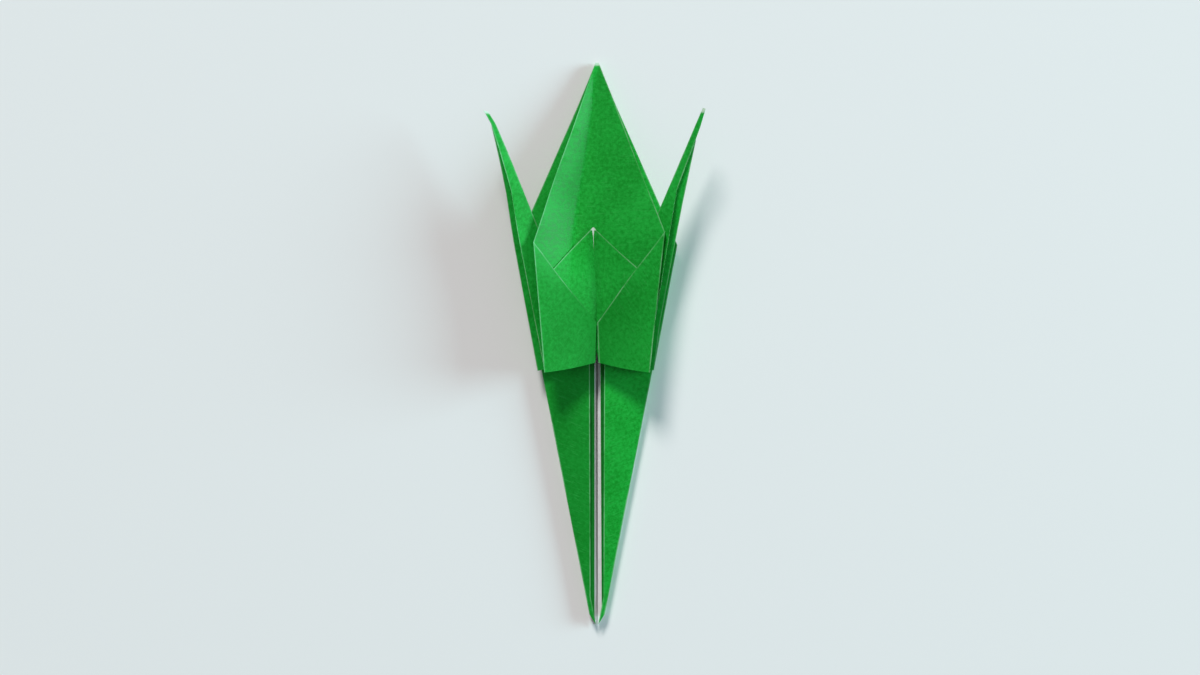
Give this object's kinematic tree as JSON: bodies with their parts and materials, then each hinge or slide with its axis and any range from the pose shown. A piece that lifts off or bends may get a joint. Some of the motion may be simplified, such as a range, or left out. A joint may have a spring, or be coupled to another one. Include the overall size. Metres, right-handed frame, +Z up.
{
  "type": "origami frog",
  "caption": "Origami frog part-way through its folding: a pointed head, raised front wings, reverse-folded front legs and straight hind legs from one square of paper.",
  "frame": {"origin": "on the table under the middle of the folded length", "axes": "+Y towards the nose, +Z up from the table, +X to the frog's right-hand side in the picture"},
  "size_m": [0.0418, 0.106, 0.0092],
  "materials": {
    "green_paper": "matte, slightly mottled, white on the reverse"
  },
  "bodies": {
    "root": {"folded_sheet": "green_paper"}
  },
  "joints": []
}
